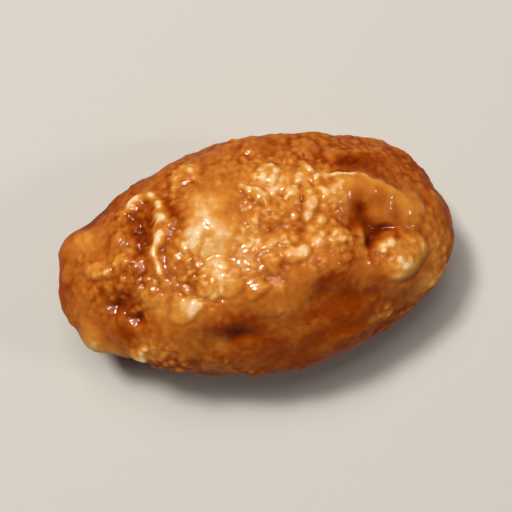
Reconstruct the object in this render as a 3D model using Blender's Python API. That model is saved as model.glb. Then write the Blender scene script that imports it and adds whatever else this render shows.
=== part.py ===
"""One toffee almond, lying on its flatter broad side.

A whole almond kernel inside a hard, lumpy crust of boiled sugar. The crust hides the kernel all over, so
the sweet is one solid: a blunt, slightly tapered oval with swells, knobs, ribs, hollows and pits, and a
small flat foot where the soft toffee set on a tray.

Lengths in the tables are millimetres, and the model is in metres. X runs along the almond, towards its
blunt end, Y runs across it and Z is up. The origin is the centre of the bounding box, on the surface
that the sweet lies on.
"""

import math
import random
from typing import NamedTuple

import bmesh
import bpy
import numpy as np
from mathutils import noise

MM = 0.001

# Driving dimensions of the whole sweet
LENGTH = 29.0 * MM
WIDTH = 17.4 * MM
THICKNESS = 12.8 * MM

# The oval under the crust's relief
CRUST_RISE = 0.5 * MM  # how far the lumps stand out from it on each side
FULLNESS = 1.86  # exponent of the oval: 2 is an ellipsoid, less is more pointed
TAPER_ACROSS = 0.06  # the narrow end loses this share of its width, and the blunt end gains it
TAPER_UP = 0.07  # the same for the thickness
FOOT_CUT = 0.3 * MM  # how much of the lowest point the tray flattened

# The mesh
CUTS = 29  # cuts along each edge of the starting cube
MIDDLE_CROWD = 0.82  # below 1, faces crowd towards the middle of the length, where the oval is longest
TOP_CROWD = 0.16  # above 0, faces crowd towards the upper side, which has the deepest relief

# How one rise runs into the next
CREASE = 0.10 * MM  # rounding of the creases between lumps
CAP_FULLNESS = 0.75  # exponent of a lump's profile: 0.5 is a round dome, 1 a parabola
SWELL_FALL = 1.5  # how fast a swell dies away towards its rim
RIB_FALL = 1.6  # the same for a rib
RIB_FADE = (0.12, 0.88)  # how much of half a wave the rib's height follows from end to end
WOBBLE_REACH = 0.55 * MM  # how far the lumps' outlines stray from ovals
WOBBLE_SCALE = 1.7 * MM  # and over what length

# Scattered crust, away from the placed features
SEED = 141
LUMP_TRIES = 900
LUMP_RADIUS = (1.5 * MM, 2.7 * MM)
LUMP_STEEPNESS = (0.16, 0.26)  # height over radius
LUMP_UPPER_SHARE = 0.4  # share of that height on the upper side, where the placed features stand
LUMP_SPACING = 0.62  # least distance between two lumps, over the sum of their radii
KNOB_TRIES = 1500
KNOB_RADIUS = (0.65 * MM, 1.25 * MM)
KNOB_STEEPNESS = (0.24, 0.42)
KNOB_UPPER_SHARE = 0.65
KNOB_SPACING = 0.78
KNOB_CLUMPS = 3.6 * MM  # distance from one clump of knobs to the next
CLUMP_SHARE = 0.6  # share of its height that a knob keeps on average
CLUMP_SWING = 1.6  # how far that share swings between a clump and the calm beside it
CLUMP_LEAST = 0.1
NEAR_SIDE_START = 0.3  # share of the way to the near rim where the clumps begin to thin out
NEAR_SIDE_CALM = 1.2  # how fast they do, as the syrup ran smooth on that side
UNDERSIDE_CALM = 0.8  # share of the relief that the tray and the hot toffee left below
LONGEST_LUMP = 1.6  # length over width of the longest scattered lump
SYRUP_ROUNDING = 0.5  # how far each point is drawn to its neighbours' middle
FINEST = 0.7 * MM  # the mesh shows no feature narrower than this on each side of its middle
SLIGHTEST = 1e-9  # keeps a length of nothing out of a division


class Rise(NamedTuple):
    """A rounded rise on the upper side, in millimetres. A hollow has a height below 0."""

    along: float
    across: float
    half_length: float
    half_width: float
    turn_deg: float
    height: float


class Rib(NamedTuple):
    """A rounded rib along a smooth line on the upper side, in millimetres."""

    line: tuple
    half_width: float
    height: float


class Patches(NamedTuple):
    """Relief patches: centres, radii, main axes as rows over their radii, and heights, in metres."""

    centres: np.ndarray
    radii: np.ndarray
    frames: np.ndarray
    heights: np.ndarray


# Broad swells and hollows, which run softly into the oval
SWELLS = (
    Rise(-12.4, -3.4, 2.2, 1.8, 10, 0.60),  # heel of the narrow end
    Rise(-12.9, 3.0, 2.2, 2.4, 20, 1.05),  # tip of the narrow end
    Rise(10.8, 5.6, 3.0, 1.8, -28, 0.75),  # far shoulder of the blunt end
    Rise(13.2, -1.6, 2.0, 3.0, 0, 0.35),  # tip of the blunt end
    Rise(-2.9, 2.0, 3.0, 2.2, 75, 0.75),  # high pale swell
    Rise(9.4, -3.2, 3.2, 1.8, 5, 0.50),  # swell below the blister
    Rise(4.4, 6.6, 4.4, 1.8, -4, 0.20),  # far edge
    Rise(-7.7, 2.7, 1.2, 2.0, 15, -0.65),  # hollow inside the curved rib
    Rise(-10.0, -2.0, 1.7, 1.4, -15, -0.60),  # hollow above the heel
    Rise(7.9, -0.2, 2.2, 0.85, -20, -0.80),  # trough below the blister
    Rise(2.4, 0.6, 2.2, 0.8, 5, -0.50),  # hollow in the middle
    Rise(-10.4, -5.8, 1.0, 1.6, 25, -0.85),  # notch between heel and side
    Rise(-2.6, -5.8, 2.2, 1.0, 8, -0.30),  # dents in the near side
    Rise(4.4, -4.4, 2.8, 1.2, 0, -0.25),
)

ROOF = Rib(
    (
        (-9.0, -5.2), (-6.2, -4.3), (-2.8, -3.6), (0.8, -3.5),
        (3.4, -2.5), (6.2, -2.6), (9.0, -4.0), (12.0, -4.2),
    ),
    2.2,
    0.60,
)
CURVED_RIB = Rib(
    (
        (-8.6, 3.9), (-7.5, 4.8), (-6.3, 4.7), (-5.9, 3.4),
        (-6.3, 2.1), (-6.9, 0.9), (-6.8, -0.6),
    ),
    0.55,
    0.50,
)
BLISTER = Rib(((5.0, 1.7), (6.4, 2.4), (8.2, 2.3), (9.8, 1.4), (10.8, 0.2)), 1.15, 0.75)
BLISTER_EDGE = Rib(((5.2, 3.4), (7.2, 3.2), (9.7, 2.0)), 0.4, 0.22)
FAR_RIM = Rib(((-8.6, 5.6), (-3.5, 6.5), (1.2, 7.2), (6.0, 7.0)), 1.3, 0.30)
RIBS = (ROOF, CURVED_RIB, BLISTER, BLISTER_EDGE, FAR_RIM)

# Knobs of crust on the upper side, which meet in creases
KNOBS = (
    Rise(-13.2, 0.9, 0.9, 0.8, 0, 0.25),
    Rise(-11.0, 0.6, 1.3, 0.8, 10, 0.40),
    Rise(-9.2, 0.7, 1.2, 0.8, -15, 0.40),
    Rise(-9.2, 2.4, 0.8, 0.7, 0, 0.30),
    Rise(-12.2, -3.4, 2.0, 1.5, -30, 0.45),
    Rise(-9.3, -5.2, 1.1, 0.8, 10, 0.40),
    Rise(-7.8, -2.0, 1.0, 0.7, 0, 0.30),
    Rise(-5.2, -3.3, 1.6, 0.8, 8, 0.40),
    Rise(-3.1, -1.8, 1.7, 1.4, 0, 0.45),
    Rise(-3.0, 2.1, 2.1, 1.9, 30, 0.15),
    Rise(-3.7, 5.7, 1.6, 1.0, 20, 0.40),
    Rise(0.1, 1.2, 0.6, 1.0, 0, 0.30),
    Rise(1.0, 3.0, 1.4, 0.6, -43, 0.45),
    Rise(1.9, 4.5, 1.0, 0.9, 10, 0.45),
    Rise(3.2, 2.8, 0.8, 0.8, 0, 0.40),
    Rise(4.5, 3.9, 0.9, 0.9, 0, 0.45),
    Rise(4.2, 1.6, 1.4, 0.6, 53, 0.45),
    Rise(-0.5, -3.0, 0.9, 0.7, 0, 0.30),
    Rise(0.7, -1.6, 1.1, 0.8, 20, 0.35),
    Rise(2.6, -1.4, 0.9, 0.8, 20, 0.45),
    Rise(4.1, -0.9, 0.9, 0.7, 0, 0.35),
    Rise(5.7, -0.8, 1.3, 0.7, 5, 0.45),
    Rise(8.6, -1.8, 0.8, 0.6, 0, 0.35),
    Rise(9.7, -3.1, 2.2, 1.3, 8, 0.45),
    Rise(6.7, 4.9, 1.0, 0.8, 0, 0.35),
    Rise(4.9, 5.8, 1.3, 0.9, 0, 0.35),
    Rise(1.2, 6.5, 1.6, 1.1, 0, 0.40),
    Rise(13.0, 0.6, 1.3, 1.8, 0, 0.25),
)

# Deep small pits where bubbles burst
PITS = (
    Rise(7.7, -1.5, 0.75, 0.5, 20, -0.60),
    Rise(9.0, -0.7, 0.8, 0.4, -20, -0.35),
    Rise(7.7, 0.8, 0.6, 0.5, 0, -0.20),
    Rise(-7.9, 1.2, 0.7, 0.5, 60, -0.35),
    Rise(-10.4, -1.8, 0.6, 0.6, 0, -0.22),
    Rise(-9.0, -3.2, 0.7, 0.5, 30, -0.35),
    Rise(3.3, 0.1, 0.8, 0.4, 15, -0.40),
    Rise(-3.0, -6.0, 0.7, 0.5, 10, -0.12),
)


def clear_scene():
    """Removes whatever the scene holds."""
    for item in list(bpy.data.objects):
        bpy.data.objects.remove(item, do_unlink=True)


def rounded_cube():
    """A cube with evenly cut faces, blown up to a unit sphere."""
    shell = bmesh.new()
    bmesh.ops.create_cube(shell, size=2.0)
    bmesh.ops.subdivide_edges(shell, edges=shell.edges[:], cuts=CUTS, use_grid_fill=True)
    for vertex in shell.verts:
        vertex.co = [math.tan(value * math.pi / 4) for value in vertex.co]
        vertex.co.normalize()
        vertex.co.x *= MIDDLE_CROWD
        vertex.co.z += TOP_CROWD
        vertex.co.normalize()
    return shell


def half_sizes():
    """Half the oval's length, width and thickness, without the crust's relief."""
    return np.array([LENGTH, WIDTH, THICKNESS + FOOT_CUT]) / 2 - CRUST_RISE


def half_widths_at(along):
    """The oval's half length, width and thickness at a share of the way to each end."""
    half = half_sizes()
    return np.column_stack(
        [
            np.full(len(along), half[0]),
            half[1] * (1 + TAPER_ACROSS * along),
            half[2] * (1 + TAPER_UP * along),
        ]
    )


def oval(directions):
    """Points of the plain tapered oval, one for each unit direction."""
    fuller = (np.abs(directions) ** FULLNESS).sum(axis=1) ** (-1 / FULLNESS)
    unit = directions * fuller[:, None]
    return unit * half_widths_at(unit[:, 0])


def oval_normals(points):
    """Outward unit normals of the oval at its own points."""
    half = half_widths_at(points[:, 0] / half_sizes()[0])
    share = points / half
    slope = np.sign(share) * np.abs(share) ** (FULLNESS - 1) / half
    return slope / np.linalg.norm(slope, axis=1)[:, None]


def on_top(places):
    """Points of the oval's upper side above flat (along, across) places in millimetres."""
    flat = np.array(places) * MM
    half = half_widths_at(flat[:, 0] / half_sizes()[0])
    used = (np.abs(flat / half[:, :2]) ** FULLNESS).sum(axis=1)
    # A place outside the oval slides in to its rim.
    flat /= np.maximum(used, 1)[:, None] ** (1 / FULLNESS)
    return np.column_stack([flat, half[:, 2] * np.maximum(1 - used, 0) ** (1 / FULLNESS)])


def tangent_frames(centres, turns, half_lengths, half_widths):
    """Main axis, cross axis and normal of each patch as rows, each divided by its radius."""
    normals = oval_normals(centres)
    main = np.column_stack([np.cos(turns), np.sin(turns), np.zeros(len(turns))])
    main -= normals * (main * normals).sum(axis=1)[:, None]
    main /= np.linalg.norm(main, axis=1)[:, None] + SLIGHTEST
    cross = np.cross(normals, main)
    thickness = np.maximum(half_lengths, half_widths)
    return np.stack(
        [main / half_lengths[:, None], cross / half_widths[:, None], normals / thickness[:, None]],
        axis=1,
    )


def placed(rises):
    """The patches of hand-placed rises."""
    table = np.array(rises) * [MM, MM, MM, MM, math.radians(1), MM]
    centres = wobbled(on_top(table[:, :2] / MM))
    halves = np.maximum(table[:, 2:4], FINEST)
    frames = tangent_frames(centres, table[:, 4], halves[:, 0], halves[:, 1])
    return Patches(centres, table[:, 2:4].mean(axis=1), frames, table[:, 5])


def joined(*groups):
    """Several groups of patches as one."""
    return Patches(*(np.concatenate(parts) for parts in zip(*groups)))


def strewn(rng, tries, radii, steepness, spacing, taken):
    """Patches strewn over the whole oval, none too near another or a taken place."""
    draws = np.array([[rng.gauss(0, 1) for _ in range(3)] for _ in range(tries)])
    points = oval(draws / np.linalg.norm(draws, axis=1)[:, None])
    centres, sizes = list(taken.centres), list(taken.radii)
    for point in points:
        radius = rng.uniform(*radii)
        gaps = np.linalg.norm(np.array(centres) - point, axis=1)
        if np.all(gaps > spacing * (np.array(sizes) + radius)):
            centres.append(point)
            sizes.append(radius)
    centres, sizes = np.array(centres[len(taken.radii) :]), np.array(sizes[len(taken.radii) :])
    turns = np.array([rng.uniform(0, math.pi) for _ in sizes])
    longer = np.array([rng.uniform(1, LONGEST_LUMP) for _ in sizes])
    heights = sizes * [rng.uniform(*steepness) for _ in sizes]
    return Patches(
        centres, sizes, tangent_frames(centres, turns, sizes * longer, sizes), heights
    )


def upness(points):
    """0 on the underside and 1 on the upper side, with a soft change between."""
    return np.clip(0.5 + points[:, 2] / half_sizes()[2], 0, 1)


def calmed(patches, upper_share):
    """The patches, with a share of their heights on the upper side."""
    share = 1 + (upper_share - 1) * upness(patches.centres)
    return patches._replace(heights=patches.heights * share)


def clumped(patches):
    """The patches, with heights that leave them in clumps, and few clumps up on the near side."""
    places = patches.centres / KNOB_CLUMPS
    crowding = np.array([CLUMP_SHARE + CLUMP_SWING * noise.noise(place) for place in places])
    nearness = -patches.centres[:, 1] / half_sizes()[1]
    crowding -= NEAR_SIDE_CALM * np.clip(nearness - NEAR_SIDE_START, 0, 1) * upness(patches.centres)
    return patches._replace(heights=patches.heights * np.clip(crowding, CLUMP_LEAST, 1))


def wobbled(points):
    """The points strayed a little, so that no lump keeps a perfect outline."""
    stray = np.array([noise.noise_vector(point / WOBBLE_SCALE) for point in points])
    return points + stray * WOBBLE_REACH


def reach(points, patches, index):
    """Each point's distance from a patch's centre, where 1 is the patch's rim."""
    return np.linalg.norm((points - patches.centres[index]) @ patches.frames[index].T, axis=1)


def swells(points, patches):
    """The sum of soft bell-shaped rises and hollows."""
    total = np.zeros(len(points))
    for index, height in enumerate(patches.heights):
        total += height * np.exp(-SWELL_FALL * reach(points, patches, index) ** 2)
    return total


def caps(points, patches):
    """Rounded caps that meet in creases."""
    top = np.zeros(len(points))
    for index, height in enumerate(patches.heights):
        cap = height * np.maximum(1 - reach(points, patches, index) ** 2, 0) ** CAP_FULLNESS
        near = np.maximum(CREASE - np.abs(top - cap), 0)
        top = np.maximum(top, cap) + near**2 / (4 * CREASE)
    return top


def smooth_line(corners, steps=12):
    """A Catmull-Rom curve through flat corner points."""
    knots = np.array(corners)
    ends = np.vstack([2 * knots[0] - knots[1], knots, 2 * knots[-1] - knots[-2]])
    line = []
    for a, b, c, d in zip(ends, ends[1:], ends[2:], ends[3:]):
        for share in np.arange(steps) / steps:
            bend = (2 * a - 5 * b + 4 * c - d) * share**2 + (3 * b - a - 3 * c + d) * share**3
            line.append((2 * b + (c - a) * share + bend) / 2)
    return np.array([*line, knots[-1]])


def rib_rise(points, rib):
    """The height of a rounded rib, which fades at both ends."""
    line = wobbled(on_top(smooth_line(rib.line)))
    fades = np.sin(np.linspace(*RIB_FADE, len(line)) * math.pi) ** 0.5
    rise = np.zeros(len(points))
    for place, fade in zip(line, fades):
        away = np.linalg.norm(points - place, axis=1) / max(rib.half_width * MM, FINEST)
        rise = np.maximum(rise, fade * np.exp(-RIB_FALL * away**2))
    return rise * rib.height * MM


def relief(points):
    """How far the crust stands out from the oval, along the oval's normal."""
    rng = random.Random(SEED)
    noise.seed_set(SEED)
    bent = wobbled(points)
    by_hand = placed(KNOBS)
    lumps = strewn(rng, LUMP_TRIES, LUMP_RADIUS, LUMP_STEEPNESS, LUMP_SPACING, by_hand)
    knobs = strewn(rng, KNOB_TRIES, KNOB_RADIUS, KNOB_STEEPNESS, KNOB_SPACING, by_hand)
    height = caps(bent, joined(by_hand, calmed(lumps, LUMP_UPPER_SHARE)))
    height += caps(bent, calmed(clumped(knobs), KNOB_UPPER_SHARE))
    height += swells(bent, placed(SWELLS)) + swells(bent, placed(PITS))
    height += sum(rib_rise(bent, rib) for rib in RIBS)
    return height * (UNDERSIDE_CALM + (1 - UNDERSIDE_CALM) * upness(points))


def fitted(points):
    """The points scaled to the driving dimensions, with a flat foot at height 0."""
    low, high = points.min(axis=0), points.max(axis=0)
    wanted = np.array([LENGTH, WIDTH, THICKNESS + FOOT_CUT])
    sized = (points - (low + high) / 2) * wanted / (high - low)
    sized[:, 2] += THICKNESS - wanted[2] / 2
    sized[:, 2] = np.maximum(sized[:, 2], 0)
    return sized


def toffee():
    """Hard amber toffee, glossy and not metallic."""
    material = bpy.data.materials.new("toffee")
    material.use_nodes = True
    shader = material.node_tree.nodes["Principled BSDF"]
    shader.inputs["Base Color"].default_value = (0.43, 0.106, 0.012, 1.0)
    shader.inputs["Roughness"].default_value = 0.3
    shader.inputs["Metallic"].default_value = 0.0
    return material


def points_of(shell):
    """The mesh's points, one a row."""
    return np.array([vertex.co[:] for vertex in shell.verts])


def move(shell, points):
    """Puts the mesh's points in new places."""
    for vertex, point in zip(shell.verts, points):
        vertex.co = point


def toffee_almond():
    """The whole sweet as one closed object."""
    shell = rounded_cube()
    base = oval(points_of(shell))
    move(shell, base + oval_normals(base) * relief(base)[:, None])
    # The syrup rounded the steep sides of ribs and knobs.
    bmesh.ops.smooth_vert(
        shell,
        verts=shell.verts[:],
        factor=SYRUP_ROUNDING,
        use_axis_x=True,
        use_axis_y=True,
        use_axis_z=True,
    )
    move(shell, fitted(points_of(shell)))
    bmesh.ops.recalc_face_normals(shell, faces=shell.faces)
    bmesh.ops.triangulate(shell, faces=shell.faces[:], quad_method="SHORT_EDGE")
    mesh = bpy.data.meshes.new("toffee_almond")
    shell.to_mesh(mesh)
    shell.free()
    mesh.shade_smooth()
    mesh.materials.append(toffee())
    almond = bpy.data.objects.new("toffee_almond", mesh)
    bpy.context.scene.collection.objects.link(almond)
    return almond


clear_scene()
toffee_almond()
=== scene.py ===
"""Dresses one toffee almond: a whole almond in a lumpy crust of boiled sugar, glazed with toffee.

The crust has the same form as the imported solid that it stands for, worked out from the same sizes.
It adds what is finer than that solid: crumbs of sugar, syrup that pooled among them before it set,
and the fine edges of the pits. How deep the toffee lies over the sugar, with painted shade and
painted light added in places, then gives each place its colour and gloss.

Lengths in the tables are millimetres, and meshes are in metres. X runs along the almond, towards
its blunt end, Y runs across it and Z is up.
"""

import logging
import math
import random
from dataclasses import dataclass, replace
from enum import Enum

import bmesh
import bpy
import numpy as np
from mathutils import Matrix, Vector, noise


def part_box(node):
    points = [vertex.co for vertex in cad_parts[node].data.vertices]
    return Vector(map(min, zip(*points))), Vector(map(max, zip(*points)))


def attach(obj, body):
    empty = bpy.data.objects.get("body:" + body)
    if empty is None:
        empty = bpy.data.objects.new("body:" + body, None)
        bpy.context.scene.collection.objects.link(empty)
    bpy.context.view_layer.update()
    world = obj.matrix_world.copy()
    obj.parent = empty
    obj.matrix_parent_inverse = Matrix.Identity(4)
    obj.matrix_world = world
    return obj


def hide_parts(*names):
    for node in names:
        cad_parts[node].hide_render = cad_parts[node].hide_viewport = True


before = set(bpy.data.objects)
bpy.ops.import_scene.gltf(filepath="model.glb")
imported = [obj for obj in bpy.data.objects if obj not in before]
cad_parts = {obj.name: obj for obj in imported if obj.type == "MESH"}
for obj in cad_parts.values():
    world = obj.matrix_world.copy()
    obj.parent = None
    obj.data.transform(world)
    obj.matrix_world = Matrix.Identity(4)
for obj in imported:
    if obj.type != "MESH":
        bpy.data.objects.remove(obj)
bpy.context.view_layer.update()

MM = 0.001
NODE = "toffee_almond"
BODY = "root"
LOG = logging.getLogger("toffee_almond")

# What the mesh tells its finish at each of its points, all from 0 to 1
DEPTH_AND_SHADING = "toffee_depth_and_shading"  # how deep the toffee lies over the sugar, with painted shade and painted light added in places
COVER = "crumb_cover"  # how much of the crust the crumbs cover
BARE = "bare_sugar"  # how far the crumbs stand out of the toffee

# Where each pattern starts, so that no two patterns rise and fall together
CLUMP_SHIFT = 5.0
RUN_SHIFT = 17.0
POOL_SHIFT = 31.0
NOISE_MIDDLE = 0.5  # of a noise texture, which runs from 0 to 1


class Ending(Enum):
    """How a rise runs out into the crust around it."""

    SOFT = "a bell that fades away"
    CREASED = "a rounded cap that meets the next one in a crease"


@dataclass(frozen=True)
class Rise:
    """A rounded rise on the upper side, in millimetres. A hollow has a height below 0."""

    along: float
    across: float
    half_length: float
    half_width: float
    turn_deg: float
    height: float


@dataclass(frozen=True)
class Rib:
    """A rounded rib along a smooth line on the upper side, in millimetres."""

    line: tuple[tuple[float, float], ...]
    half_width: float
    height: float


@dataclass(frozen=True)
class Patches:
    """Round or long patches of relief on the oval, in metres.

    Each frame holds the patch's main axis, cross axis and normal as rows, divided by its radii.
    """

    centres: np.ndarray
    radii: np.ndarray
    frames: np.ndarray
    heights: np.ndarray

    def joined(self, other: "Patches") -> "Patches":
        """These patches followed by the others."""
        pairs = zip(vars(self).values(), vars(other).values())
        return Patches(*(np.concatenate(pair) for pair in pairs))

    def reach(self, points: np.ndarray, index: int) -> np.ndarray:
        """Each point's distance from one patch's centre, where 1 is the patch's rim."""
        return np.linalg.norm((points - self.centres[index]) @ self.frames[index].T, axis=1)


# Broad swells and hollows, which run softly into the oval
SWELLS = (
    Rise(-12.4, -3.4, 2.2, 1.8, 10, 0.60),  # heel of the narrow end
    Rise(-12.9, 3.0, 2.2, 2.4, 20, 1.05),  # tip of the narrow end
    Rise(10.8, 5.6, 3.0, 1.8, -28, 0.75),  # far shoulder of the blunt end
    Rise(13.2, -1.6, 2.0, 3.0, 0, 0.35),  # tip of the blunt end
    Rise(-2.9, 2.0, 3.0, 2.2, 75, 0.75),  # high pale swell
    Rise(9.4, -3.2, 3.2, 1.8, 5, 0.50),  # swell below the blister
    Rise(4.4, 6.6, 4.4, 1.8, -4, 0.20),  # far edge
    Rise(-7.7, 2.7, 1.2, 2.0, 15, -0.65),  # hollow inside the curved rib
    Rise(-10.0, -2.0, 1.7, 1.4, -15, -0.60),  # hollow above the heel
    Rise(7.9, -0.2, 2.2, 0.85, -20, -0.80),  # trough below the blister
    Rise(2.4, 0.6, 2.2, 0.8, 5, -0.50),  # hollow in the middle
    Rise(-10.4, -5.8, 1.0, 1.6, 25, -0.85),  # notch between heel and side
    Rise(-2.6, -5.8, 2.2, 1.0, 8, -0.30),  # dents in the near side
    Rise(4.4, -4.4, 2.8, 1.2, 0, -0.25),
)

ROOF = Rib(
    (
        (-9.0, -5.2), (-6.2, -4.3), (-2.8, -3.6), (0.8, -3.5),
        (3.4, -2.5), (6.2, -2.6), (9.0, -4.0), (12.0, -4.2),
    ),
    2.2,
    0.60,
)
CURVED_RIB = Rib(
    (
        (-8.6, 3.9), (-7.5, 4.8), (-6.3, 4.7), (-5.9, 3.4),
        (-6.3, 2.1), (-6.9, 0.9), (-6.8, -0.6),
    ),
    0.55,
    0.50,
)
BLISTER = Rib(((5.0, 1.7), (6.4, 2.4), (8.2, 2.3), (9.8, 1.4), (10.8, 0.2)), 1.15, 0.75)
BLISTER_EDGE = Rib(((5.2, 3.4), (7.2, 3.2), (9.7, 2.0)), 0.4, 0.22)
FAR_RIM = Rib(((-8.6, 5.6), (-3.5, 6.5), (1.2, 7.2), (6.0, 7.0)), 1.3, 0.30)
RIBS = (ROOF, CURVED_RIB, BLISTER, BLISTER_EDGE, FAR_RIM)
BEADED_HIGHLIGHT_RIBS = (CURVED_RIB, BLISTER_EDGE)  # beaded narrow ribs, paler partly as sugar and partly as a painted highlight along their crests

# Knobs of crust on the upper side, which meet in creases
KNOBS = (
    Rise(-13.2, 0.9, 0.9, 0.8, 0, 0.25),
    Rise(-11.0, 0.6, 1.3, 0.8, 10, 0.40),
    Rise(-9.2, 0.7, 1.2, 0.8, -15, 0.40),
    Rise(-9.2, 2.4, 0.8, 0.7, 0, 0.30),
    Rise(-12.2, -3.4, 2.0, 1.5, -30, 0.45),
    Rise(-9.3, -5.2, 1.1, 0.8, 10, 0.40),
    Rise(-7.8, -2.0, 1.0, 0.7, 0, 0.30),
    Rise(-5.2, -3.3, 1.6, 0.8, 8, 0.40),
    Rise(-3.1, -1.8, 1.7, 1.4, 0, 0.45),
    Rise(-3.0, 2.1, 2.1, 1.9, 30, 0.15),
    Rise(-3.7, 5.7, 1.6, 1.0, 20, 0.40),
    Rise(0.1, 1.2, 0.6, 1.0, 0, 0.30),
    Rise(1.0, 3.0, 1.4, 0.6, -43, 0.45),
    Rise(1.9, 4.5, 1.0, 0.9, 10, 0.45),
    Rise(3.2, 2.8, 0.8, 0.8, 0, 0.40),
    Rise(4.5, 3.9, 0.9, 0.9, 0, 0.45),
    Rise(4.2, 1.6, 1.4, 0.6, 53, 0.45),
    Rise(-0.5, -3.0, 0.9, 0.7, 0, 0.30),
    Rise(0.7, -1.6, 1.1, 0.8, 20, 0.35),
    Rise(2.6, -1.4, 0.9, 0.8, 20, 0.45),
    Rise(4.1, -0.9, 0.9, 0.7, 0, 0.35),
    Rise(5.7, -0.8, 1.3, 0.7, 5, 0.45),
    Rise(8.6, -1.8, 0.8, 0.6, 0, 0.35),
    Rise(9.7, -3.1, 2.2, 1.3, 8, 0.45),
    Rise(6.7, 4.9, 1.0, 0.8, 0, 0.35),
    Rise(4.9, 5.8, 1.3, 0.9, 0, 0.35),
    Rise(1.2, 6.5, 1.6, 1.1, 0, 0.40),
    Rise(13.0, 0.6, 1.3, 1.8, 0, 0.25),
)

# Deep small pits where bubbles burst
PITS = (
    Rise(7.7, -1.5, 0.75, 0.5, 20, -0.60),
    Rise(9.0, -0.7, 0.8, 0.4, -20, -0.35),
    Rise(7.7, 0.8, 0.6, 0.5, 0, -0.20),
    Rise(-7.9, 1.2, 0.7, 0.5, 60, -0.35),
    Rise(-10.4, -1.8, 0.6, 0.6, 0, -0.22),
    Rise(-9.0, -3.2, 0.7, 0.5, 30, -0.35),
    Rise(3.3, 0.1, 0.8, 0.4, 15, -0.40),
    Rise(-3.0, -6.0, 0.7, 0.5, 10, -0.12),
)

# Where crumbs of sugar stuck (above 0) or slid off and left smooth toffee (below 0)
CRUMBED = (
    Rise(2.2, 3.6, 3.8, 2.4, 5, 0.60),  # rough middle
    Rise(-4.6, -3.0, 2.4, 1.0, 0, 0.45),
    Rise(-3.8, 5.8, 1.8, 1.0, 15, 0.40),
    Rise(-10.2, 0.6, 3.0, 2.0, 0, 0.50),
    Rise(-10.0, -2.0, 1.5, 1.2, 0, 0.30),
    Rise(-8.8, -5.2, 2.0, 1.2, 10, 0.60),  # crumbs in the notch
    Rise(9.4, -1.6, 1.6, 0.7, 0, 0.40),  # crumbs below the trough
    Rise(10.2, -4.0, 2.4, 1.2, 5, -0.45),  # smooth patch
    Rise(11.6, 4.8, 2.6, 1.8, -28, 0.50),  # grainy shoulder
    Rise(3.6, -0.8, 3.0, 1.2, 10, 0.50),
    Rise(0.8, -0.2, 2.2, 2.0, 0, 0.75),
    Rise(-0.8, 5.6, 2.8, 1.4, 0, 0.75),
    Rise(-12.2, 1.8, 1.4, 1.2, 0, 0.35),
    Rise(-12.6, -3.4, 2.4, 1.8, 10, -0.90),  # smooth heel
    Rise(-11.6, 3.4, 2.4, 1.4, 30, -0.70),  # smooth far side of the narrow end
    Rise(7.6, 2.2, 3.0, 1.2, -10, -0.90),  # smooth blister
    Rise(10.0, 0.8, 1.6, 1.2, -50, -0.60),
    Rise(-6.2, 2.4, 1.2, 3.4, 0, 0.10),  # curved rib
    Rise(-3.0, 2.2, 1.6, 1.8, 20, -0.15),  # pale swell
    Rise(1.0, -6.6, 9.0, 3.0, 0, -1.10),  # near side
    Rise(4.6, -3.8, 2.6, 1.4, 0, -0.60),
    Rise(-6.4, 6.4, 2.6, 1.2, 20, -0.40),  # far edge
    Rise(-1.1, -1.6, 1.3, 1.0, 0, 0.60),  # beside the golden knob
    Rise(0.8, -3.2, 0.9, 0.8, 0, 0.50),
)
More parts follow.
